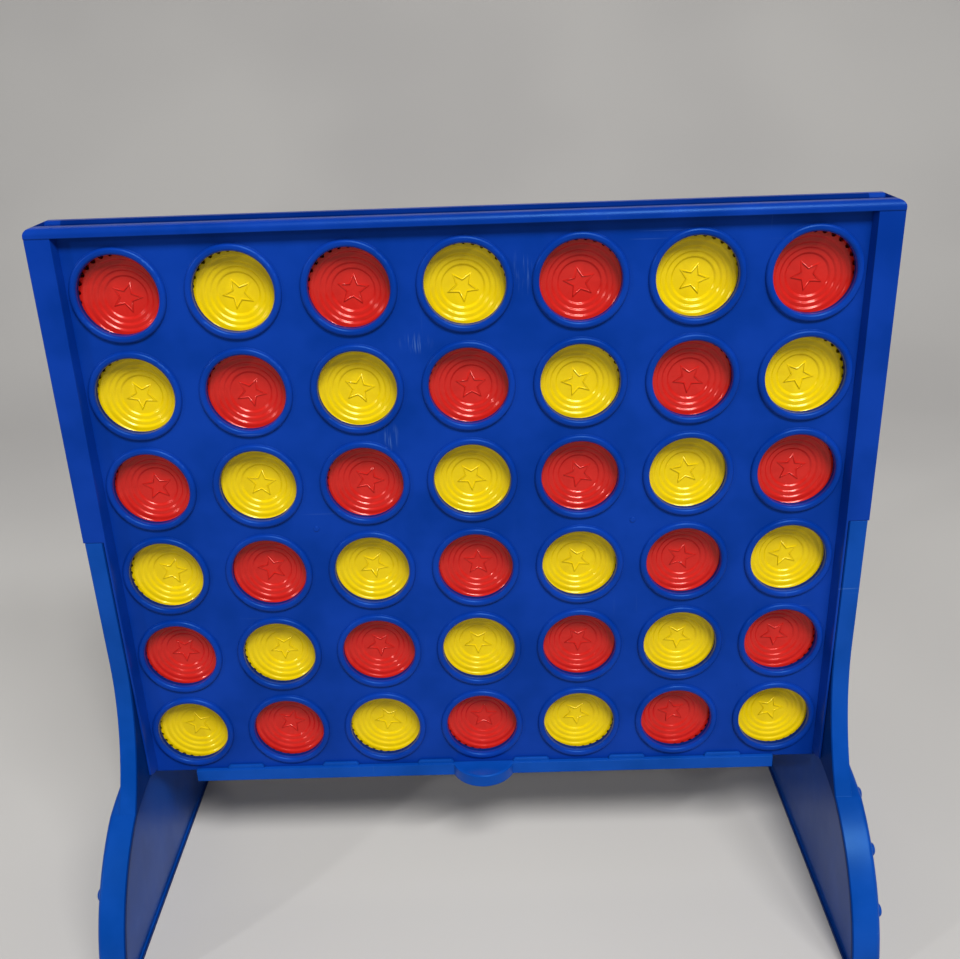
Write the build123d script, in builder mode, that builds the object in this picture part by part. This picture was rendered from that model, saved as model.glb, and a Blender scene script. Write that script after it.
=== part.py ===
from build123d import *
import os

# Four-in-a-row frame: two grid shells, two slip-on legs, a sliding release bar and 42 discs.
# Each shell is one moulding, given as its panel and its border, and the dividers between the
# chutes are moulded on the back one.
# Millimetres.  +Z is up, the front faces -Y, and the origin is on the ground under the middle.

os.makedirs("parts", exist_ok=True)

# ---------------------------------------------------------------- driving dimensions
COLUMNS = 7
ROWS = 6
COLUMN_PITCH = 35.0
ROW_PITCH = 32.1
GRID_Z = 148.5              # height of the middle of the grid of windows

# Shells (the front half is described; the back half mirrors it)
HALF_WIDTH = 128.9
SHELL_BOTTOM = 51.0
SHELL_TOP = 250.0
HALF_DEPTH = 10.5           # from the mating plane to the border's face, below the seam
TOP_HALF_DEPTH = 9.0        # the same under the rail
PANEL_FACE = 5.8            # from the mating plane to the recessed panel's face
CHUTE_DEPTH = 3.9           # half of the gap that the discs fall through
DIVIDER = 1.6
RECESS_HALF_WIDTH = 120.5
RECESS_TAPER = 12.0
RAIL_BOTTOM = 247.0
RAIL_PROUD = 0.2
STILE_FOOT_RISE = 2.0       # slope under each stile, from the panel's face to its own
RAIL_EDGE_R = 2.2           # rounding of the rail's front and the upper corners
SLOT_HALF_WIDTH = 127.2     # the slot over the dividers runs nearly to the shells' ends
SLOT_CHAMFER = 0.9
WINDOW_R = 12.5
BEAD_R = 14.75
BEAD_HEIGHT = 1.2
BEAD_RIM_R = 0.95           # rounding of the bead's outer and inner rims
DIVIDER_BOTTOM = 53.0       # the release bar's cross-bars pass under the dividers
DIVIDER_TOP = 246.5
DIVIDER_END_R = 0.7
GALLERY_HALF_WIDTH = 123.5  # room for the bar's ends at full travel
RELIEF_DEPTH = 2.1          # notch under each stile that the bar's rails run into
RELIEF_TOP = 52.3
GROOVE_BOTTOM = 51.5        # groove inside the gallery, which the release bar hangs in
GROOVE_TOP = 52.4
GROOVE_DEPTH = 0.7
PIN_R = 1.3
PIN_LENGTH = 3.0
PIN_CLEARANCE = 0.06
SOCKET_EXTRA = 0.3          # how much deeper a socket is than its pin is long
PIN_X = 124.2
PIN_HEIGHTS = (72.0, 112.0, 180.0, 232.0)
MARK_R = 0.9
MARK_HEIGHT = 0.2

# Legs
LEG_INNER = 122.4
LEG_OUTER = 128.4
FOOT_OUTER = 132.0
LEG_TOP = 147.85
SEAM_Z = 148.0
SLIDE_GAP = 0.2             # between a leg's channel and the shells
LEG_WALL = 1.6
WEB = 1.5
SHELF_Z = SHELL_BOTTOM - SLIDE_GAP
BAR_ROOM = 10.0             # height of the recess that clears the release bar's ends
FOOT_REACH = 61.0           # from the middle to the toe, on the ground
CREASE = (27.5, 49.5)       # where the arm's sweep meets the foot
SWEEP_R = 86.0
INSTEP = (46.5, 34.6)
ANKLE_RISE = 53.5           # top of the foot's outer plate
INNER_RECESS = 1.0
INNER_RIM = 1.4
INNER_SKIN = 1.8            # left between the foot's inner recess and its hollow
OUTER_SKIN = 2.0
FOOT_SKIN = 2.2
FOOT_CORNER_R = 4.0
FOOT_EDGE_R = 1.5
RIB = 1.8
RIB_Y = 20.0
STUD_R = 2.3
STUD_HEIGHT = 1.3
STUD_EDGE_R = 1.1
FRONT_STUDS = ((-22.5, 46.6), (-39.3, 36.8), (-51.0, 21.2))
REAR_STUDS = ((44.6, 30.0),)

# Release bar
BAR_HALF_LENGTH = 105.8
BAR_BOTTOM = 47.2
DECK_TOP = 50.6
RAIL_TOP = 51.86
BAR_HALF_DEPTH = 7.55
BAR_RAIL_INNER = 6.05
DECK_BAR = 2.0              # the deck's bars between its windows
CROSS_BAR = 1.6             # the ridges on them, which carry the discs
CROSS_BAR_TOP = 52.2
CROSS_BAR_HALF_DEPTH = 3.5
LUG_HALF_DEPTH = 4.3        # how far out the cross-bars' lugs reach, into the groove
LUG_HEIGHT = 0.5
GUIDE_LENGTH = 13.0
GUIDE_THICKNESS = 0.8
GUIDE_TOP = 53.35
GUIDE_CHAMFER = 0.7
TAB_R = 11.8
TAB_CENTRE_Y = -2.8
TAB_EDGE_R = 0.7

# Discs
DISC_R = 15.85
DISC_HALF = 3.2
DISC_GAP = 0.1              # left between stacked discs
DISC_SET_BACK = 0.5         # the discs rest nearer the back panel
STEP_RADII = (6.6, 8.4, 10.1, 12.0)
STEP_DEPTH = 0.55
STEP_SLOPE = 0.25
DISC_EDGE = 0.4
STAR_OUTER_R = 5.2
STAR_INNER_R = 2.3
STAR_LINE = 0.55            # width of the star's raised outline
STAR_HEIGHT = 0.3
DISC_LEAN = 0.7             # how far a disc that rests against its chute's side is off centre
LEAN_SHARES = {"L": -1.0, "l": -0.5, ".": 0.0, "r": 0.5, "R": 1.0}
DISC_LEANS = (              # which way each disc rests, row by row from the top
    "RrRL.lL",
    "rr.RLlL",
    "r.Rl..l",
    "R..RL..",
    "rR.l..L",
    "R.RRLL.",
)

EPS = 1.0                   # overrun of a cut past a face

shell_height = SHELL_TOP - SHELL_BOTTOM
shell_mid_z = (SHELL_TOP + SHELL_BOTTOM) / 2
chute_half_span = (COLUMNS * COLUMN_PITCH - DIVIDER) / 2


def window_places():
    """The grid of window centres, in a plane whose local axes are X and Z."""
    return GridLocations(COLUMN_PITCH, ROW_PITCH, COLUMNS, ROWS)


# ---------------------------------------------------------------- shells
def make_half_shell():
    """One half of the grid: a block with its front recess, discs' space, windows and rebates."""
    with BuildPart() as half:
        # Block from the mating plane to the border's face
        with BuildSketch(Plane.XZ):
            with Locations((0, shell_mid_z)):
                Rectangle(2 * HALF_WIDTH, shell_height)
        extrude(amount=HALF_DEPTH)

        # Recess in front of the panel, open at the bottom, with drafted sides
        recess_bottom = SHELL_BOTTOM - 5 * EPS
        with BuildSketch(Plane.XZ.offset(PANEL_FACE)):
            with Locations((0, (RAIL_BOTTOM + recess_bottom) / 2)):
                Rectangle(2 * RECESS_HALF_WIDTH, RAIL_BOTTOM - recess_bottom)
        extrude(amount=HALF_DEPTH - PANEL_FACE, taper=-RECESS_TAPER, mode=Mode.SUBTRACT)

        # The border grows shallower from the seam up
        with BuildSketch(Plane.YZ):
            Polygon(
                (-HALF_DEPTH, SEAM_Z),
                (-TOP_HALF_DEPTH, RAIL_BOTTOM),
                (-TOP_HALF_DEPTH, SHELL_TOP + EPS),
                (-HALF_DEPTH - EPS, SHELL_TOP + EPS),
                (-HALF_DEPTH - EPS, SEAM_Z),
                align=None,
            )
        extrude(amount=HALF_WIDTH + EPS, both=True, mode=Mode.SUBTRACT)

        # Top rail, flat underneath and a little prouder than the stiles
        with BuildSketch(Plane.XZ.offset(PANEL_FACE)):
            with Locations((0, (SHELL_TOP + RAIL_BOTTOM) / 2)):
                Rectangle(2 * HALF_WIDTH, SHELL_TOP - RAIL_BOTTOM)
        extrude(amount=TOP_HALF_DEPTH + RAIL_PROUD - PANEL_FACE)

        # Rounded outer edges: the rail's front and the upper corners
        top_front = half.edges().filter_by(Axis.X).group_by(Axis.Z)[-1].sort_by(Axis.Y)[0]
        corners = half.edges().filter_by(Axis.Y).filter_by(
            lambda e: abs(e.center().X) > HALF_WIDTH - 0.1 and e.center().Z > RAIL_BOTTOM + EPS
        )
        fillet([top_front, *corners], radius=RAIL_EDGE_R)

        # Space for the discs, with a wider slot above it and a wider gallery at the bottom for
        # the release bar
        with BuildSketch(Plane.XZ):
            with Locations((0, shell_mid_z)):
                Rectangle(2 * chute_half_span, shell_height + EPS)
            with Locations((0, DIVIDER_TOP)):
                slot_height = SHELL_TOP - DIVIDER_TOP + EPS
                Rectangle(2 * SLOT_HALF_WIDTH, slot_height, align=(Align.CENTER, Align.MIN))
            with Locations((0, DIVIDER_BOTTOM)):
                gallery_height = DIVIDER_BOTTOM - SHELL_BOTTOM + EPS
                Rectangle(2 * GALLERY_HALF_WIDTH, gallery_height, align=(Align.CENTER, Align.MAX))
        extrude(amount=CHUTE_DEPTH, mode=Mode.SUBTRACT)

        # Lead-in along the rail's inner edge, at the mouth of the slot
        slot_edge = half.edges().filter_by(Axis.X).group_by(Axis.Z)[-1].sort_by(Axis.Y)[-1]
        chamfer(slot_edge, length=SLOT_CHAMFER)

        # Rebates for the legs' channels, below the seam: one for the web, one for the flanges
        web_face = LEG_OUTER - WEB - SLIDE_GAP
        flange_face = HALF_DEPTH - LEG_WALL - SLIDE_GAP
        for inner_x, inner_y in ((web_face, 0), (LEG_INNER - SLIDE_GAP, flange_face)):
            with BuildSketch(Plane.XZ.offset(inner_y)):
                with Locations((0, SEAM_Z)):
                    rebate_height = SEAM_Z - SHELL_BOTTOM + EPS
                    Rectangle(2 * HALF_WIDTH + EPS, rebate_height, align=(Align.CENTER, Align.MAX))
                    Rectangle(2 * inner_x, 3 * rebate_height, mode=Mode.SUBTRACT)
            extrude(amount=HALF_DEPTH - inner_y + EPS, mode=Mode.SUBTRACT)

        # Slope under each stile, between the recess and the leg
        stile_foot_top = SHELL_BOTTOM + STILE_FOOT_RISE
        with BuildSketch(Plane.YZ):
            Polygon(
                (-PANEL_FACE, SHELL_BOTTOM),
                (-HALF_DEPTH, stile_foot_top),
                (-HALF_DEPTH - EPS, stile_foot_top),
                (-HALF_DEPTH - EPS, SHELL_BOTTOM),
                align=None,
            )
        extrude(amount=LEG_INNER - SLIDE_GAP, both=True, mode=Mode.SUBTRACT)

        # Relief under the stiles for the ends of the release bar's rails
        with BuildSketch(Plane.XZ.offset(PANEL_FACE)):
            with Locations((0, RELIEF_TOP)):
                relief_height = RELIEF_TOP - SHELL_BOTTOM + EPS
                Rectangle(2 * GALLERY_HALF_WIDTH, relief_height, align=(Align.CENTER, Align.MAX))
        extrude(amount=RELIEF_DEPTH, mode=Mode.SUBTRACT)

        # Windows, each with a rounded bead round it
        with BuildSketch(Plane.XZ.offset(PANEL_FACE)):
            with Locations((0, GRID_Z)):
                with window_places():
                    Circle(BEAD_R)
        extrude(amount=BEAD_HEIGHT)
        bead_face_y = -PANEL_FACE - BEAD_HEIGHT
        outer_rims = half.edges().filter_by(GeomType.CIRCLE).filter_by(
            lambda e: abs(e.center().Y - bead_face_y) < 0.01
        )
        fillet(outer_rims, radius=BEAD_RIM_R)
        with BuildSketch(Plane.XZ):
            with Locations((0, GRID_Z)):
                with window_places():
                    Circle(WINDOW_R)
        extrude(amount=HALF_DEPTH, mode=Mode.SUBTRACT)
        inner_rims = half.edges().filter_by(GeomType.CIRCLE).filter_by(
            lambda e: abs(e.center().Y - bead_face_y) < 0.01 and abs(e.radius - WINDOW_R) < 0.01
        )
        fillet(inner_rims, radius=BEAD_RIM_R)

        # Groove in the gallery's wall that the release bar's lugs run in
        with BuildSketch(Plane.XZ):
            with Locations((0, (GROOVE_BOTTOM + GROOVE_TOP) / 2)):
                Rectangle(2 * GALLERY_HALF_WIDTH, GROOVE_TOP - GROOVE_BOTTOM)
        extrude(amount=CHUTE_DEPTH + GROOVE_DEPTH, mode=Mode.SUBTRACT)

        # Two small round moulding marks between the third and fourth rows
        with BuildSketch(Plane.XZ.offset(PANEL_FACE)):
            with Locations((-1.5 * COLUMN_PITCH, GRID_Z), (1.5 * COLUMN_PITCH, GRID_Z)):
                Circle(MARK_R)
        extrude(amount=MARK_HEIGHT)
    return half.part


def pin_places():
    """Where the shells' locating pins stand in the end walls, as X and Z pairs."""
    return [(side * PIN_X, z) for side in (-1, 1) for z in PIN_HEIGHTS]


# Block that a panel fills, out to the foot of its recess's walls
with BuildPart() as panel_space:
    with BuildSketch(Plane.XZ):
        with Locations((0, RAIL_BOTTOM)):
            panel_height = RAIL_BOTTOM - SHELL_BOTTOM + EPS
            Rectangle(2 * RECESS_HALF_WIDTH, panel_height, align=(Align.CENTER, Align.MAX))
    extrude(amount=2 * HALF_DEPTH, both=True)

half_shell = make_half_shell()
rear_half_shell = half_shell.mirror(Plane.XZ)

with BuildPart() as front_panel:
    add(half_shell)
    add(panel_space, mode=Mode.INTERSECT)
front_panel.part.label = "front_panel"
export_step(front_panel.part, "parts/front_panel.step")

with BuildPart() as back_panel:
    add(rear_half_shell)
    add(panel_space, mode=Mode.INTERSECT)
back_panel.part.label = "back_panel"
export_step(back_panel.part, "parts/back_panel.step")

with BuildPart() as front_border:
    add(half_shell)
    add(panel_space, mode=Mode.SUBTRACT)
    # Locating pins in the end walls
    with BuildSketch(Plane.XZ):
        with Locations(*pin_places()):
            Circle(PIN_R)
    extrude(amount=-PIN_LENGTH)
front_border.part.label = "front_border"
export_step(front_border.part, "parts/front_border.step")

with BuildPart() as back_border:
    add(rear_half_shell)
    add(panel_space, mode=Mode.SUBTRACT)
    # Sockets for the pins
    with BuildSketch(Plane.XZ):
        with Locations(*pin_places()):
            Circle(PIN_R + PIN_CLEARANCE)
    extrude(amount=-PIN_LENGTH - SOCKET_EXTRA, mode=Mode.SUBTRACT)
back_border.part.label = "back_border"
export_step(back_border.part, "parts/back_border.step")

for number in range(1, COLUMNS):
    divider_x = (number - COLUMNS / 2) * COLUMN_PITCH
    with BuildPart() as divider:
        with BuildSketch(Plane.XZ):
            with Locations((divider_x, (DIVIDER_TOP + DIVIDER_BOTTOM) / 2)):
                Rectangle(DIVIDER, DIVIDER_TOP - DIVIDER_BOTTOM)
        extrude(amount=CHUTE_DEPTH, both=True)
        divider_ends = divider.edges().filter_by(Axis.Y)
        fillet(divider_ends, radius=DIVIDER_END_R)
    divider.part.label = f"divider_{number}"
    export_step(divider.part, f"parts/divider_{number}.step")


# ---------------------------------------------------------------- legs
def foot_outline():
    """The foot's side view: a flat sole, two rounded insteps and a shallow top."""
    crease_y, crease_z = CREASE
    instep_y, instep_z = INSTEP
    with BuildLine() as outline:
        Line((-FOOT_REACH, 0), (FOOT_REACH, 0))
        ThreePointArc((FOOT_REACH, 0), (instep_y, instep_z), (crease_y, crease_z))
        ThreePointArc((crease_y, crease_z), (0, ANKLE_RISE), (-crease_y, crease_z))
        ThreePointArc((-crease_y, crease_z), (-instep_y, instep_z), (-FOOT_REACH, 0))
    return outline.line


def arm_outline():
    """The arm's side view: upright beside the grid, sweeping out to the creases below."""
    crease_y, crease_z = CREASE
    sweep_start = (HALF_DEPTH, sweep_start_z)
    with BuildLine() as outline:
        Line((-HALF_DEPTH, LEG_TOP), (HALF_DEPTH, LEG_TOP))
        Line((HALF_DEPTH, LEG_TOP), sweep_start)
        TangentArc(sweep_start, (crease_y, crease_z), tangent=(0, -1))
        Line((crease_y, crease_z), (-crease_y, crease_z))
        TangentArc((-HALF_DEPTH, sweep_start_z), (-crease_y, crease_z), tangent=(0, -1))
        Line((-HALF_DEPTH, sweep_start_z), (-HALF_DEPTH, LEG_TOP))
    return outline.line


# The sweep is tangent to the upright edge, so its height follows from its radius
sweep_out = CREASE[0] - HALF_DEPTH
sweep_start_z = CREASE[1] + (SWEEP_R**2 - (SWEEP_R - sweep_out) ** 2) ** 0.5

with BuildPart() as right_leg:
    # Foot, with its upper corners and its outer edge rounded
    with BuildSketch(Plane.YZ.offset(LEG_INNER)):
        add(foot_outline())
        make_face()
    extrude(amount=FOOT_OUTER - LEG_INNER)
    upper_corners = right_leg.edges().filter_by(Axis.X).group_by(Axis.Z)[-1]
    fillet(upper_corners, radius=FOOT_CORNER_R)
    outer_edge = right_leg.faces().sort_by(Axis.X)[-1].edges().filter_by(GeomType.CIRCLE)
    fillet(outer_edge, radius=FOOT_EDGE_R)

    # Arm, flush with the foot on the inside
    with BuildSketch(Plane.YZ.offset(LEG_INNER)):
        add(arm_outline())
        make_face()
    extrude(amount=LEG_OUTER - LEG_INNER)

    # Channel that slips over the shells' edge, down to the shelf that they stand on
    channel_width = 2 * (HALF_DEPTH - LEG_WALL)
    channel_height = LEG_TOP - SHELF_Z + EPS
    with BuildSketch(Plane.YZ.offset(LEG_INNER - EPS)):
        with Locations((0, SHELF_Z)):
            Rectangle(channel_width, channel_height, align=(Align.CENTER, Align.MIN))
    extrude(amount=LEG_OUTER - WEB - LEG_INNER + EPS, mode=Mode.SUBTRACT)

    # Shallow recess over the foot's inner face, inside a narrow rim
    with BuildSketch(Plane.YZ.offset(LEG_INNER - EPS)):
        add(foot_outline())
        make_face()
        offset(amount=-INNER_RIM)
        with Locations((0, SHELF_Z + EPS)):
            Rectangle(channel_width, BAR_ROOM, align=(Align.CENTER, Align.MAX))
    extrude(amount=INNER_RECESS + EPS, mode=Mode.SUBTRACT)

    # Hollow under the foot, open below, with two ribs across it
    cavity_start = LEG_INNER + INNER_RECESS + INNER_SKIN
    with BuildSketch(Plane.YZ.offset(cavity_start)):
        add(foot_outline())
        make_face()
        offset(amount=-FOOT_SKIN)
        with Locations((0, 0)):
            Rectangle(2 * (FOOT_REACH - FOOT_SKIN) - EPS, 3 * FOOT_SKIN)
        with Locations((0, SHELF_Z - FOOT_SKIN)):
            Rectangle(2 * FOOT_REACH, FOOT_REACH, align=(Align.CENTER, Align.MIN), mode=Mode.SUBTRACT)
        with GridLocations(2 * RIB_Y, 1, 2, 1):
            Rectangle(RIB, 2 * ANKLE_RISE, mode=Mode.SUBTRACT)
    extrude(amount=FOOT_OUTER - OUTER_SKIN - cavity_start, mode=Mode.SUBTRACT)

    # Domed studs near the foot's rounded edges
    with BuildSketch(Plane.YZ.offset(FOOT_OUTER - EPS / 2)):
        with Locations(*FRONT_STUDS, *REAR_STUDS):
            Circle(STUD_R)
    extrude(amount=STUD_HEIGHT + EPS / 2)
    stud_rims = right_leg.faces().sort_by(Axis.X)[-len(FRONT_STUDS + REAR_STUDS):].edges()
    fillet(stud_rims, radius=STUD_EDGE_R)
right_leg.part.label = "right_leg"
export_step(right_leg.part, "parts/right_leg.step")

with BuildPart() as left_leg:
    add(right_leg.part.rotate(Axis.Z, 180))
left_leg.part.label = "left_leg"
export_step(left_leg.part, "parts/left_leg.step")


# ---------------------------------------------------------------- release bar
with BuildPart() as release_bar:
    # Deck with six windows between its cross-bars
    with BuildSketch(Plane.XY.offset(BAR_BOTTOM)):
        Rectangle(2 * BAR_HALF_LENGTH, 2 * BAR_HALF_DEPTH)
        with GridLocations(COLUMN_PITCH, 1, COLUMNS - 1, 1):
            Rectangle(COLUMN_PITCH - DECK_BAR, 2 * CHUTE_DEPTH, mode=Mode.SUBTRACT)
    extrude(amount=DECK_TOP - BAR_BOTTOM)

    # Cross-bars rise between the chute walls to carry the bottom discs
    with BuildSketch(Plane.XY.offset(DECK_TOP - EPS)):
        with GridLocations(COLUMN_PITCH, 1, COLUMNS, 1):
            Rectangle(CROSS_BAR, 2 * CROSS_BAR_HALF_DEPTH)
    extrude(amount=CROSS_BAR_TOP - DECK_TOP + EPS)

    # Lugs at the cross-bars' ends, which hang the bar in the gallery's grooves
    with BuildSketch(Plane.XY.offset(CROSS_BAR_TOP - LUG_HEIGHT)):
        with GridLocations(COLUMN_PITCH, 1, COLUMNS, 1):
            Rectangle(CROSS_BAR, 2 * LUG_HALF_DEPTH)
    extrude(amount=LUG_HEIGHT)

    for side in (-1, 1):
        # Side rail outside the shell
        rail_mid_y = side * (BAR_HALF_DEPTH + BAR_RAIL_INNER) / 2
        with BuildSketch(Plane.XY.offset(DECK_TOP - EPS)):
            with Locations((0, rail_mid_y)):
                Rectangle(2 * BAR_HALF_LENGTH, BAR_HALF_DEPTH - BAR_RAIL_INNER)
        extrude(amount=RAIL_TOP - DECK_TOP + EPS)

        # Guides on the rail, between the columns
        guide_mid_y = side * (BAR_RAIL_INNER + GUIDE_THICKNESS / 2)
        with BuildSketch(Plane.XY.offset(RAIL_TOP - EPS)):
            with Locations((0, guide_mid_y)):
                with GridLocations(COLUMN_PITCH, 1, COLUMNS - 1, 1):
                    Rectangle(GUIDE_LENGTH, GUIDE_THICKNESS)
        extrude(amount=GUIDE_TOP - RAIL_TOP + EPS)

    # Sloped ends on the guides
    guide_ends = release_bar.edges().filter_by(Axis.Y).group_by(Axis.Z)[-1]
    chamfer(guide_ends, length=GUIDE_CHAMFER)

    # Finger tab on the front rail
    with BuildSketch(Plane.XY.offset(BAR_BOTTOM)):
        with Locations((0, TAB_CENTRE_Y)):
            Circle(TAB_R)
        with Locations((0, EPS - BAR_HALF_DEPTH)):
            Rectangle(4 * TAB_R, 4 * TAB_R, align=(Align.CENTER, Align.MIN), mode=Mode.SUBTRACT)
    extrude(amount=RAIL_TOP - BAR_BOTTOM)
    tab_rim = release_bar.edges().filter_by(GeomType.CIRCLE).group_by(Axis.Z)[-1]
    fillet(tab_rim, radius=TAB_EDGE_R)
release_bar.part.label = "release_bar"
export_step(release_bar.part, "parts/release_bar.step")


# ---------------------------------------------------------------- discs
def star_points(outer_r, inner_r):
    """The ten corners of an upright five-pointed star."""
    radii = (outer_r, inner_r) * 5
    return [Vector(0, radius).rotate(Axis.Z, 36 * turn) for turn, radius in enumerate(radii)]


def make_disc():
    """A disc standing on edge, facing front, with its middle at the origin."""
    with BuildPart() as disc:
        # Half section, from the middle out: steps that rise to a flat outer band
        floor = DISC_HALF - len(STEP_RADII) * STEP_DEPTH
        with BuildSketch(Plane.XY):
            with BuildLine():
                points = [(0, 0), (0, floor)]
                for step, radius in enumerate(STEP_RADII):
                    points.append((radius, floor + step * STEP_DEPTH))
                    points.append((radius + STEP_SLOPE, floor + (step + 1) * STEP_DEPTH))
                points.append((DISC_R - DISC_EDGE, DISC_HALF))
                points.append((DISC_R, DISC_HALF - DISC_EDGE))
                points.append((DISC_R, 0))
                Polyline(*points, close=True)
            make_face()
            mirror(about=Plane.XZ)
        revolve(axis=Axis.Y)

        # A star's outline raised on both faces
        star_depth = floor + STAR_HEIGHT
        with BuildSketch(Plane.XZ):
            Polygon(*star_points(STAR_OUTER_R, STAR_INNER_R), align=None)
            offset(amount=-STAR_LINE, kind=Kind.INTERSECTION, mode=Mode.SUBTRACT)
        extrude(amount=star_depth, both=True)
    return disc.part


def disc_turn(row, column):
    """How far a disc has rolled on its way down, in degrees."""
    return (row * 137 + column * 71 + row * column * 29) % 360


def disc_lean(row, column):
    """How far a disc rests to one side of its chute."""
    return DISC_LEAN * LEAN_SHARES[DISC_LEANS[row - 1][column - 1]]


plain_disc = make_disc()
stack_pitch = 2 * DISC_R + DISC_GAP
bottom_disc_z = CROSS_BAR_TOP + DISC_GAP + DISC_R
for row in range(1, ROWS + 1):
    for column in range(1, COLUMNS + 1):
        colour = "red" if (row + column) % 2 == 0 else "yellow"
        node = f"{colour}_disc_r{row}_c{column}"
        centre_x = (column - (COLUMNS + 1) / 2) * COLUMN_PITCH + disc_lean(row, column)
        centre_z = bottom_disc_z + (ROWS - row) * stack_pitch
        place = Location((centre_x, DISC_SET_BACK, centre_z), (0, disc_turn(row, column), 0))
        with BuildPart() as disc:
            with Locations(place):
                add(plain_disc)
        disc.part.label = node
        export_step(disc.part, f"parts/{node}.step")
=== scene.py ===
import math

import bmesh
import bpy
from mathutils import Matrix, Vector


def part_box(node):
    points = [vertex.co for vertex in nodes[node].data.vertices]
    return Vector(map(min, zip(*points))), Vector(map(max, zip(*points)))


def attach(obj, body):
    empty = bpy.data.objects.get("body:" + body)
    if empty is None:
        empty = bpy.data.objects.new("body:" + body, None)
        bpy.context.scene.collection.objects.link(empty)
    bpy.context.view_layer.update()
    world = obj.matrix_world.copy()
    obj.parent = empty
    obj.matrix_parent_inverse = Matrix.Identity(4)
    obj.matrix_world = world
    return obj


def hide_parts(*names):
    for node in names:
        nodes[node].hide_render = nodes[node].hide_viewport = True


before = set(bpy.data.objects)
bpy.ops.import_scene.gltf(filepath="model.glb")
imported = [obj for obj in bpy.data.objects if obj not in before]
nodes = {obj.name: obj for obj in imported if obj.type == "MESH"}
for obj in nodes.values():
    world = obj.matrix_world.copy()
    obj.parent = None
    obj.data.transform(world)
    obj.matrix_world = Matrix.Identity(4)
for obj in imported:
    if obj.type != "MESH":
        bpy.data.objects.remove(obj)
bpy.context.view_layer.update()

MM = 0.001

# ------------------------------------------------------------------ the game's own sizes
COLUMN_PITCH = 35.0 * MM
ROW_PITCH = 32.1 * MM
COLUMNS = 7
ROWS = 6
GRID_Z = 148.5 * MM                     # height of the middle of the grid of windows
PANEL_Y = -5.8 * MM                     # the front panel's outer face
RAIL_FADE = (246.5 * MM, 248 * MM)      # heights between which the grain turns coarse
# How far from the middle, across and deep, the inner faces reach that get painted shade and a duller
# shine
SHELL_INSIDE = (122.3 * MM, 5.3 * MM)
LEG_INSIDE = (122.9 * MM, 61.0 * MM)


# ------------------------------------------------------------------ shader helpers
class Shader:
    """A material under construction: adds nodes and joins them by name."""

    def __init__(self, name):
        self.material = bpy.data.materials.new(name)
        self.material.use_nodes = True
        self.tree = self.material.node_tree
        self.surface = self.tree.nodes["Principled BSDF"]

    def add(self, kind, inputs=None, **settings):
        node = self.tree.nodes.new(kind)
        for key, value in settings.items():
            setattr(node, key, value)
        for key, value in (inputs or {}).items():
            self.feed(node.inputs[key], value)
        return node

    def feed(self, socket, value):
        if isinstance(value, bpy.types.NodeSocket):
            self.tree.links.new(value, socket)
        else:
            socket.default_value = value

    def place(self, scale=(1, 1, 1), turn=(0, 0, 0)):
        """Object coordinates, stretched and turned."""
        source = self.add("ShaderNodeTexCoord").outputs["Object"]
        inputs = {"Vector": source, "Scale": scale, "Rotation": turn}
        return self.add("ShaderNodeMapping", inputs).outputs["Vector"]

    def noise(self, vector, scale, detail=2.0, roughness=0.5, distortion=0.0):
        inputs = {"Vector": vector, "Scale": scale, "Detail": detail,
                  "Roughness": roughness, "Distortion": distortion}
        return self.add("ShaderNodeTexNoise", inputs).outputs["Fac"]

    def ramp(self, value, low, high, to_low=0.0, to_high=1.0):
        """Smooth step from to_low, at low, to to_high, at high."""
        inputs = {"Value": value, "From Min": low, "From Max": high,
                  "To Min": to_low, "To Max": to_high}
        step = self.add("ShaderNodeMapRange", inputs, interpolation_type="SMOOTHSTEP")
        return step.outputs["Result"]

    def math(self, operation, first, second=0.0):
        return self.add("ShaderNodeMath", {0: first, 1: second}, operation=operation).outputs[0]

    def mix(self, factor, first, second):
        """Mix of two colours; sockets 0, 6, 7 and 2 are the colour mix's factor, A, B and result."""
        node = self.add("ShaderNodeMix", {0: factor, 6: first, 7: second}, data_type="RGBA")
        return node.outputs[2]

    def bump(self, height, strength, distance, normal=None):
        inputs = {"Height": height, "Strength": strength, "Distance": distance}
        if normal is not None:
            inputs["Normal"] = normal
        return self.add("ShaderNodeBump", inputs).outputs["Normal"]

    def rounded(self, radius):
        """Normals that round every edge over by that radius."""
        return self.add("ShaderNodeBevel", {"Radius": radius}, samples=4).outputs["Normal"]

    def band(self, vector, axis, half_width):
        """1 where that coordinate is within half_width of the middle."""
        value = self.add("ShaderNodeSeparateXYZ", {0: vector}).outputs[axis]
        return self.math("LESS_THAN", self.math("ABSOLUTE", value), half_width)

    def near(self, centre, reach):
        """1 within a patch round centre, falling to 0 at its edge."""
        source = self.add("ShaderNodeTexCoord").outputs["Object"]
        offset = self.add("ShaderNodeVectorMath", {0: source, 1: centre}, operation="SUBTRACT")
        shrink = [1 / size for size in reach]
        scaled = self.add("ShaderNodeVectorMath", {0: offset.outputs[0], 1: shrink},
                          operation="MULTIPLY")
        distance = self.add("ShaderNodeVectorMath", {0: scaled.outputs[0]}, operation="LENGTH")
        return self.ramp(distance.outputs["Value"], 1.0, 0.3)


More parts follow.
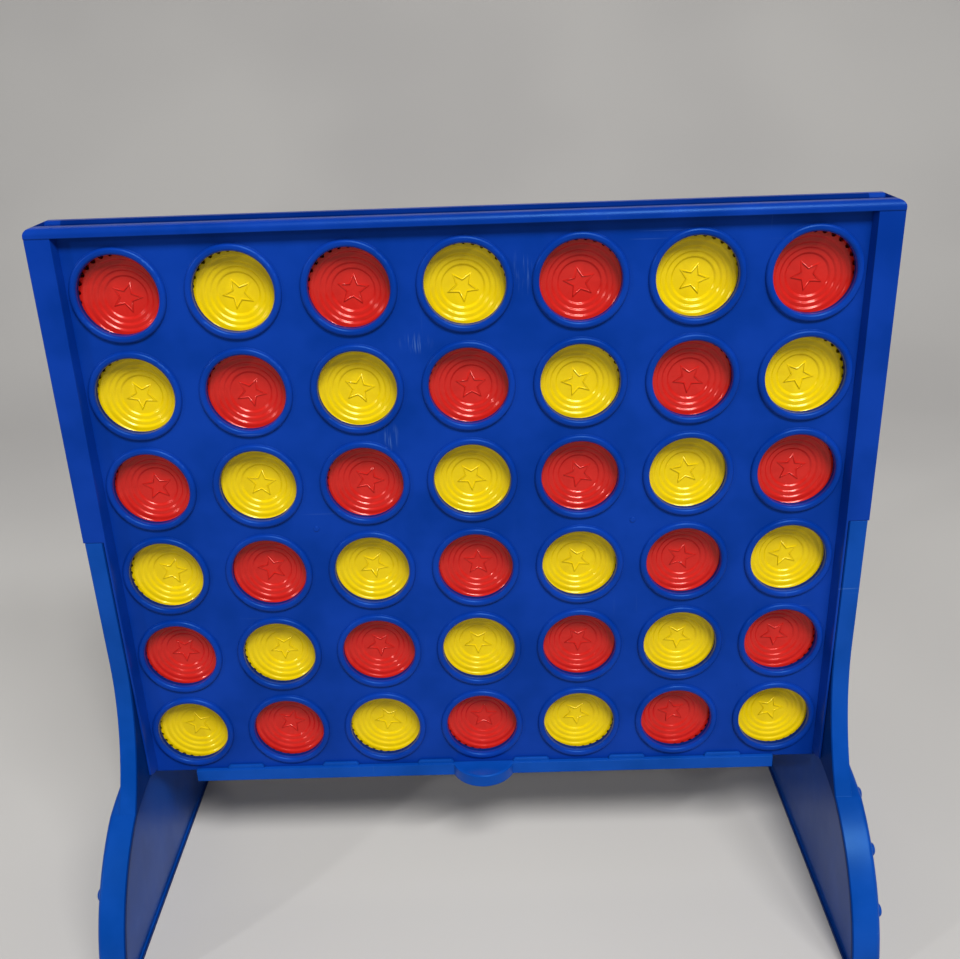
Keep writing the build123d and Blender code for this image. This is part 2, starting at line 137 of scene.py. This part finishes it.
def blue_plastic(name, colour, inner=(0.0, 0.0), grain=0.25, scuffs=()):
    """Moulded blue plastic: faint mottling, a fine grain, soft edges, handling marks and scuffs.

    inner is how far from the middle, across and deep, the inner faces reach; they are painted darker
    as painted shade and given a duller shine. Each scuff is its centre, how far it reaches and how
    its streaks are turned.
    """
    s = Shader(name)
    plain = s.place()
    mottle = s.noise(plain, 45.0, detail=3.0)
    deep = [c * 0.86 for c in colour] + [1.0]
    light = [min(1.0, c * 1.12 + 0.002) for c in colour] + [1.0]
    base = s.mix(s.ramp(mottle, 0.3, 0.7), deep, light)

    # Hair-line scratches, one set up and down and one across
    upright = s.noise(s.place((1800, 1800, 22), (0, 0.12, 0)), 1.0, detail=1.0)
    across = s.noise(s.place((26, 1500, 1700), (0, -0.3, 0)), 1.0, detail=1.0)
    patches = s.ramp(s.noise(plain, 22.0), 0.55, 0.75)
    lines = s.math("MAXIMUM", s.ramp(upright, 0.72, 0.8), s.ramp(across, 0.72, 0.8))
    wear = s.math("MULTIPLY", lines, patches)
    for centre, reach, turn in scuffs:
        streaks = s.noise(s.place((900, 900, 60), (0, turn, 0)), 1.0, detail=3.0, roughness=0.7)
        mark = s.math("MULTIPLY", s.near(centre, reach), s.ramp(streaks, 0.5, 0.68))
        wear = s.math("MAXIMUM", wear, mark)
    pale = [0.10, 0.22, 0.48, 1.0]
    base = s.mix(s.math("MULTIPLY", wear, 0.35), base, pale)

    # Painted shade: inner faces are painted darker than the outside to stand in for the shade they
    # sit in, and are given a duller shine
    shaded_inside = s.math("MULTIPLY", s.band(plain, "X", inner[0]), s.band(plain, "Y", inner[1]))
    shadow = [0.0, 0.006, 0.06, 1.0]
    base = s.mix(s.math("MULTIPLY", shaded_inside, 0.6), base, shadow)
    s.feed(s.surface.inputs["Base Color"], base)
    s.feed(s.surface.inputs["Specular IOR Level"], s.ramp(shaded_inside, 0.0, 1.0, 0.9, 0.1))

    smear = s.noise(s.place((30, 30, 14)), 1.0, detail=4.0, roughness=0.6)
    rough = s.ramp(smear, 0.25, 0.75, 0.27, 0.38)
    s.feed(s.surface.inputs["Roughness"], s.math("ADD", rough, s.math("MULTIPLY", wear, 0.2)))

    edges = s.rounded(0.35 * MM)
    fine = s.noise(plain, 2600.0, roughness=0.6)
    waves = s.noise(plain, 160.0, detail=1.0)

    # The grain is coarser on top of the rail than elsewhere
    height = s.add("ShaderNodeSeparateXYZ", {0: plain}).outputs["Z"]
    grain_here = s.ramp(height, *RAIL_FADE, grain, 0.9)
    grained = s.bump(fine, grain_here, 0.06 * MM, edges)
    s.feed(s.surface.inputs["Normal"], s.bump(waves, 0.12, 0.25 * MM, grained))
    s.surface.inputs["IOR"].default_value = 1.22
    s.surface.inputs["Specular Tint"].default_value = (0.2, 0.55, 1.0, 1.0)
    return s.material


def disc_plastic(name, colour, deep, tint):
    """Glossy disc plastic: streaks from moulding, tiny pits and finger wear."""
    s = Shader(name)
    plain = s.place()
    swirl = s.noise(plain, 160.0, detail=3.0, roughness=0.6, distortion=1.2)
    base = s.mix(s.ramp(swirl, 0.25, 0.8, 0.0, 0.5), colour + [1.0], deep + [1.0])
    specks = s.ramp(s.noise(plain, 1400.0, detail=1.0), 0.78, 0.84)
    base = s.mix(s.math("MULTIPLY", specks, 0.35), base, [c * 0.5 for c in deep] + [1.0])
    s.feed(s.surface.inputs["Base Color"], base)
    wear = s.noise(plain, 420.0, detail=4.0, roughness=0.65)
    s.feed(s.surface.inputs["Roughness"], s.ramp(wear, 0.3, 0.75, 0.14, 0.27))
    ripple = s.noise(plain, 340.0)
    s.feed(s.surface.inputs["Normal"], s.bump(ripple, 0.10, 0.2 * MM))
    s.surface.inputs["Specular IOR Level"].default_value = 0.45
    s.surface.inputs["Specular Tint"].default_value = tint + [1.0]
    return s.material


# ------------------------------------------------------------------ materials on the CAD nodes
def wear_material(node_name, material):
    """Give a CAD node that one material."""
    shape = nodes[node_name]
    shape.data.materials.clear()
    shape.data.materials.append(material)


# Three scuffs between the windows of columns 3 to 5
upper_scuff = (0.5 * COLUMN_PITCH, PANEL_Y, GRID_Z + 2.6 * ROW_PITCH)
middle_scuff = (-0.45 * COLUMN_PITCH, PANEL_Y, GRID_Z + 1.95 * ROW_PITCH)
lower_scuff = (-0.75 * COLUMN_PITCH, PANEL_Y, GRID_Z + 1.0 * ROW_PITCH)
panel_scuffs = (
    (upper_scuff, (4 * MM, 6 * MM, 9 * MM), 0.1),
    (middle_scuff, (6 * MM, 6 * MM, 4 * MM), -0.7),
    (lower_scuff, (4 * MM, 6 * MM, 6 * MM), 0.35),
)
shell_blue = blue_plastic("shell_blue", [0.0004, 0.027, 0.245], SHELL_INSIDE, scuffs=panel_scuffs)
leg_blue = blue_plastic("leg_blue", [0.0006, 0.044, 0.27], LEG_INSIDE, grain=0.5)
bar_blue = blue_plastic("bar_blue", [0.0006, 0.048, 0.30])

shell_parts = ["front_panel", "front_border", "back_panel", "back_border"]
shell_parts += [f"divider_{number}" for number in range(1, COLUMNS)]
for node_name in shell_parts:
    wear_material(node_name, shell_blue)
for node_name in ("left_leg", "right_leg"):
    wear_material(node_name, leg_blue)
wear_material("release_bar", bar_blue)


# ------------------------------------------------------------------ discs, in millimetres
DISC_R = 15.85
DISC_HALF = 3.2
DISC_EDGE = 0.45                # rounding between a face and the disc's edge
EDGE_MIDDLE = 0.13              # how far the rounding's middle lies in from both
STEP_RADII = (6.6, 8.4, 10.1, 12.0)
STEP_DEPTH = 0.55
# A step's rounded slope: how far out from its radius, and how high
STEP_SLOPE = ((-0.50, 0.0), (-0.32, 0.03), (-0.15, 0.12), (0.0, 0.25), (0.15, 0.38),
              (0.32, 0.47), (0.50, 0.53), (0.68, 0.55))
NOTCHES = 30
NOTCH_INNER_R = 13.1
NOTCH_WALL = 0.12               # how far the notch's inner wall slopes out
NOTCH_DEPTH = 1.8
NOTCH_SIDES = (0.24, 0.76)      # where a notch starts and ends in its share of the rim
RIM_MIDDLE_R = 14.6             # a loop half-way over the rim's flat
# Places within one notch's share of the rim, with how far its rounded end draws back there
NOTCH_SHARE = ((0.0, 0.0), (0.20, 0.6), (0.24, 0.6), (0.35, 0.15), (0.50, 0.0), (0.65, 0.15),
               (0.76, 0.6), (0.80, 0.6))
STAR_POINTS = 5
STAR_R = (5.2, 2.3)             # to the star's points and to the corners between them
# The star's ridge, from its outer edge in: how far in, and how high over the disc's floor
STAR_RIDGE = ((0.0, -0.05), (0.08, 0.22), (0.25, 0.3), (0.42, 0.22), (0.5, -0.05))
SHARP_ANGLE = math.radians(50)
DISC_FLOOR = DISC_HALF - len(STEP_RADII) * STEP_DEPTH


def disc_profile():
    """Radius and height of one face, from the middle to the rim, with soft steps."""
    points = [(0.0, DISC_FLOOR)]
    for step, radius in enumerate(STEP_RADII):
        low = DISC_FLOOR + step * STEP_DEPTH
        points += [(radius + out, low + rise) for out, rise in STEP_SLOPE]
    points += [
        (NOTCH_INNER_R, DISC_HALF),
        (NOTCH_INNER_R + NOTCH_WALL, DISC_HALF),
        (RIM_MIDDLE_R, DISC_HALF),
        (DISC_R - DISC_EDGE, DISC_HALF),
        (DISC_R - EDGE_MIDDLE, DISC_HALF - EDGE_MIDDLE),
        (DISC_R, DISC_HALF - DISC_EDGE),
    ]
    return points


def join_loops(faces, first, second, count):
    """Close the band between two loops of vertices, given by where each one starts."""
    for index in range(count):
        after = (index + 1) % count
        faces.append((first + index, first + after, second + after, second + index))


def add_disc_body(verts, faces):
    """Both stepped faces with their notched rims, and the edge between them."""
    profile = disc_profile()
    notch_start, notch_end = NOTCH_SIDES
    share = 2 * math.pi / NOTCHES
    spokes = []
    for notch in range(NOTCHES):
        for part, setback in NOTCH_SHARE:
            in_notch = notch_start <= part <= notch_end
            spokes.append(((notch + part) * share, setback, in_notch))
    count = len(spokes)

    def ring(radius, height, side):
        """One loop of the face at that radius, sunk where it crosses a notch."""
        start = len(verts)
        at_notch_end = radius in (NOTCH_INNER_R, NOTCH_INNER_R + NOTCH_WALL)
        notched = radius > NOTCH_INNER_R
        for angle, setback, in_notch in spokes:
            reach = radius + (setback if at_notch_end else 0.0)
            sunk = DISC_HALF - NOTCH_DEPTH if notched and in_notch else DISC_HALF
            y = side * min(height, sunk)
            verts.append((reach * math.sin(angle), y, reach * math.cos(angle)))
        return start

    rims = []
    for side in (-1, 1):
        middle = len(verts)
        verts.append((0, side * DISC_FLOOR, 0))
        rings = [ring(radius, height, side) for radius, height in profile[1:]]
        for index in range(count):
            after = (index + 1) % count
            faces.append((middle, rings[0] + after, rings[0] + index))
        for first, second in zip(rings, rings[1:]):
            join_loops(faces, first, second, count)
        rims.append(rings[-1])
    join_loops(faces, rims[0], rims[1], count)


def add_stars(verts, faces):
    """A star's raised outline on each face: a rounded ridge whose feet are sunk in the floor."""
    half_point = math.pi / STAR_POINTS
    corners = 2 * STAR_POINTS
    tip, dip = STAR_R
    side_length = math.hypot(tip - dip * math.cos(half_point), dip * math.sin(half_point))
    apothem = tip * dip * math.sin(half_point) / side_length
    for side in (-1, 1):
        loops = []
        for inset, height in STAR_RIDGE:
            shrink = 1 - inset / apothem
            y = side * (DISC_FLOOR + height)
            loops.append(len(verts))
            for corner in range(corners):
                radius = STAR_R[corner % 2] * shrink
                angle = corner * half_point
                verts.append((radius * math.sin(angle), y, radius * math.cos(angle)))
        for first, second in zip(loops, loops[1:]):
            join_loops(faces, first, second, corners)


def disc_mesh():
    """A disc with its stepped faces, notched rims and a raised star on each face."""
    verts, faces = [], []
    add_disc_body(verts, faces)
    add_stars(verts, faces)
    mesh = bpy.data.meshes.new("disc")
    mesh.from_pydata([Vector(v) * MM for v in verts], [], faces)
    mesh.validate()
    work = bmesh.new()
    work.from_mesh(mesh)
    bmesh.ops.recalc_face_normals(work, faces=work.faces)
    work.to_mesh(mesh)
    work.free()
    mesh.shade_smooth()
    mesh.set_sharp_from_angle(angle=SHARP_ANGLE)
    return mesh


red = disc_plastic("disc_red", [0.50, 0.014, 0.010], [0.40, 0.007, 0.005], [1.0, 0.55, 0.5])
yellow = disc_plastic("disc_yellow", [0.68, 0.50, 0.001], [0.60, 0.40, 0.001], [1.0, 0.95, 0.45])
red_mesh = disc_mesh()
red_mesh.name = "red_disc_shape"
red_mesh.materials.append(red)
yellow_mesh = red_mesh.copy()
yellow_mesh.name = "yellow_disc_shape"
yellow_mesh.materials[0] = yellow


def disc_turn(row, column):
    """An arbitrary turn about the disc's own axis, unlike its neighbours'."""
    return math.radians((row * 137 + column * 71 + row * column * 29) % 360)


for row in range(1, ROWS + 1):
    for column in range(1, COLUMNS + 1):
        colour = "red" if (row + column) % 2 == 0 else "yellow"
        mesh = red_mesh if colour == "red" else yellow_mesh
        node_name = f"{colour}_disc_r{row}_c{column}"
        low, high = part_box(node_name)
        disc = bpy.data.objects.new(f"{node_name}_moulding", mesh)
        bpy.context.scene.collection.objects.link(disc)
        disc.location = (Vector(low) + Vector(high)) / 2
        disc.rotation_euler = (0, disc_turn(row, column), 0)
        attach(disc, node_name)
        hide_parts(node_name)


# ------------------------------------------------------------------ floor, light and camera
FLOOR_REACH = 4.0               # how far the floor reaches to the front, to the sides and up
BEND_START = 0.5                # where the floor starts to curve up
BEND_R = 0.6
BEND_PARTS = 16
DARK_FLOOR = [0.42, 0.41, 0.40, 1]
LIGHT_FLOOR = [0.47, 0.46, 0.445, 1]


def pale_floor():
    """A floor that curves up into a backdrop well behind the object."""
    s = Shader("pale_floor")
    tone = s.ramp(s.noise(s.place(), 3.0), 0.3, 0.7)
    s.feed(s.surface.inputs["Base Color"], s.mix(tone, DARK_FLOOR, LIGHT_FLOOR))
    s.surface.inputs["Roughness"].default_value = 0.9
    section = [(-FLOOR_REACH, 0.0), (BEND_START, 0.0)]
    for part in range(1, BEND_PARTS + 1):
        turn = math.radians(90) * part / BEND_PARTS
        section.append((BEND_START + BEND_R * math.sin(turn), BEND_R * (1 - math.cos(turn))))
    section.append((BEND_START + BEND_R, FLOOR_REACH))
    verts = [(x, y, z) for y, z in section for x in (-FLOOR_REACH, FLOOR_REACH)]
    faces = [(i, i + 1, i + 3, i + 2) for i in range(0, len(verts) - 2, 2)]
    mesh = bpy.data.meshes.new("floor")
    mesh.from_pydata(verts, [], faces)
    mesh.shade_smooth()
    mesh.materials.append(s.material)
    floor = bpy.data.objects.new("floor", mesh)
    bpy.context.scene.collection.objects.link(floor)


def soft_light(name, place, target, size, power, colour=(1, 1, 1)):
    """A rectangular light that faces the target."""
    lamp = bpy.data.lights.new(name, "AREA")
    lamp.shape = "RECTANGLE"
    lamp.size, lamp.size_y = size
    lamp.energy = power
    lamp.color = colour
    holder = bpy.data.objects.new(name, lamp)
    bpy.context.scene.collection.objects.link(holder)
    holder.location = place
    aim = Vector(target) - Vector(place)
    holder.rotation_euler = aim.to_track_quat("-Z", "Y").to_euler()


pale_floor()
grid_middle = (0, 0, 0.14)
soft_light("key", (0.22, -1.05, 1.50), grid_middle, (0.5, 0.45), 33, (1.0, 0.985, 0.96))
soft_light("tube", (0.74, -0.95, 1.34), grid_middle, (0.45, 0.08), 9)
soft_light("glint", (-1.03, -0.66, 0.58), grid_middle, (0.05, 0.05), 3)
soft_light("rear", (-0.5, 1.3, 1.5), grid_middle, (1.4, 1.0), 9)

world = bpy.data.worlds.new("studio")
bpy.context.scene.world = world
world.use_nodes = True
background = world.node_tree.nodes["Background"]
background.inputs["Color"].default_value = (0.86, 0.9, 1.0, 1)
background.inputs["Strength"].default_value = 0.12

camera_data = bpy.data.cameras.new("camera")
camera_data.sensor_width = 36
camera_data.lens = 39.09
camera_data.clip_start = 0.01
camera = bpy.data.objects.new("camera", camera_data)
bpy.context.scene.collection.objects.link(camera)
camera.location = (0.00756, -0.31726, 0.29925)
camera.rotation_euler = [math.radians(turn) for turn in (66.615, 1.923, 0.102)]
bpy.context.scene.camera = camera
bpy.context.scene.view_settings.view_transform = "Standard"
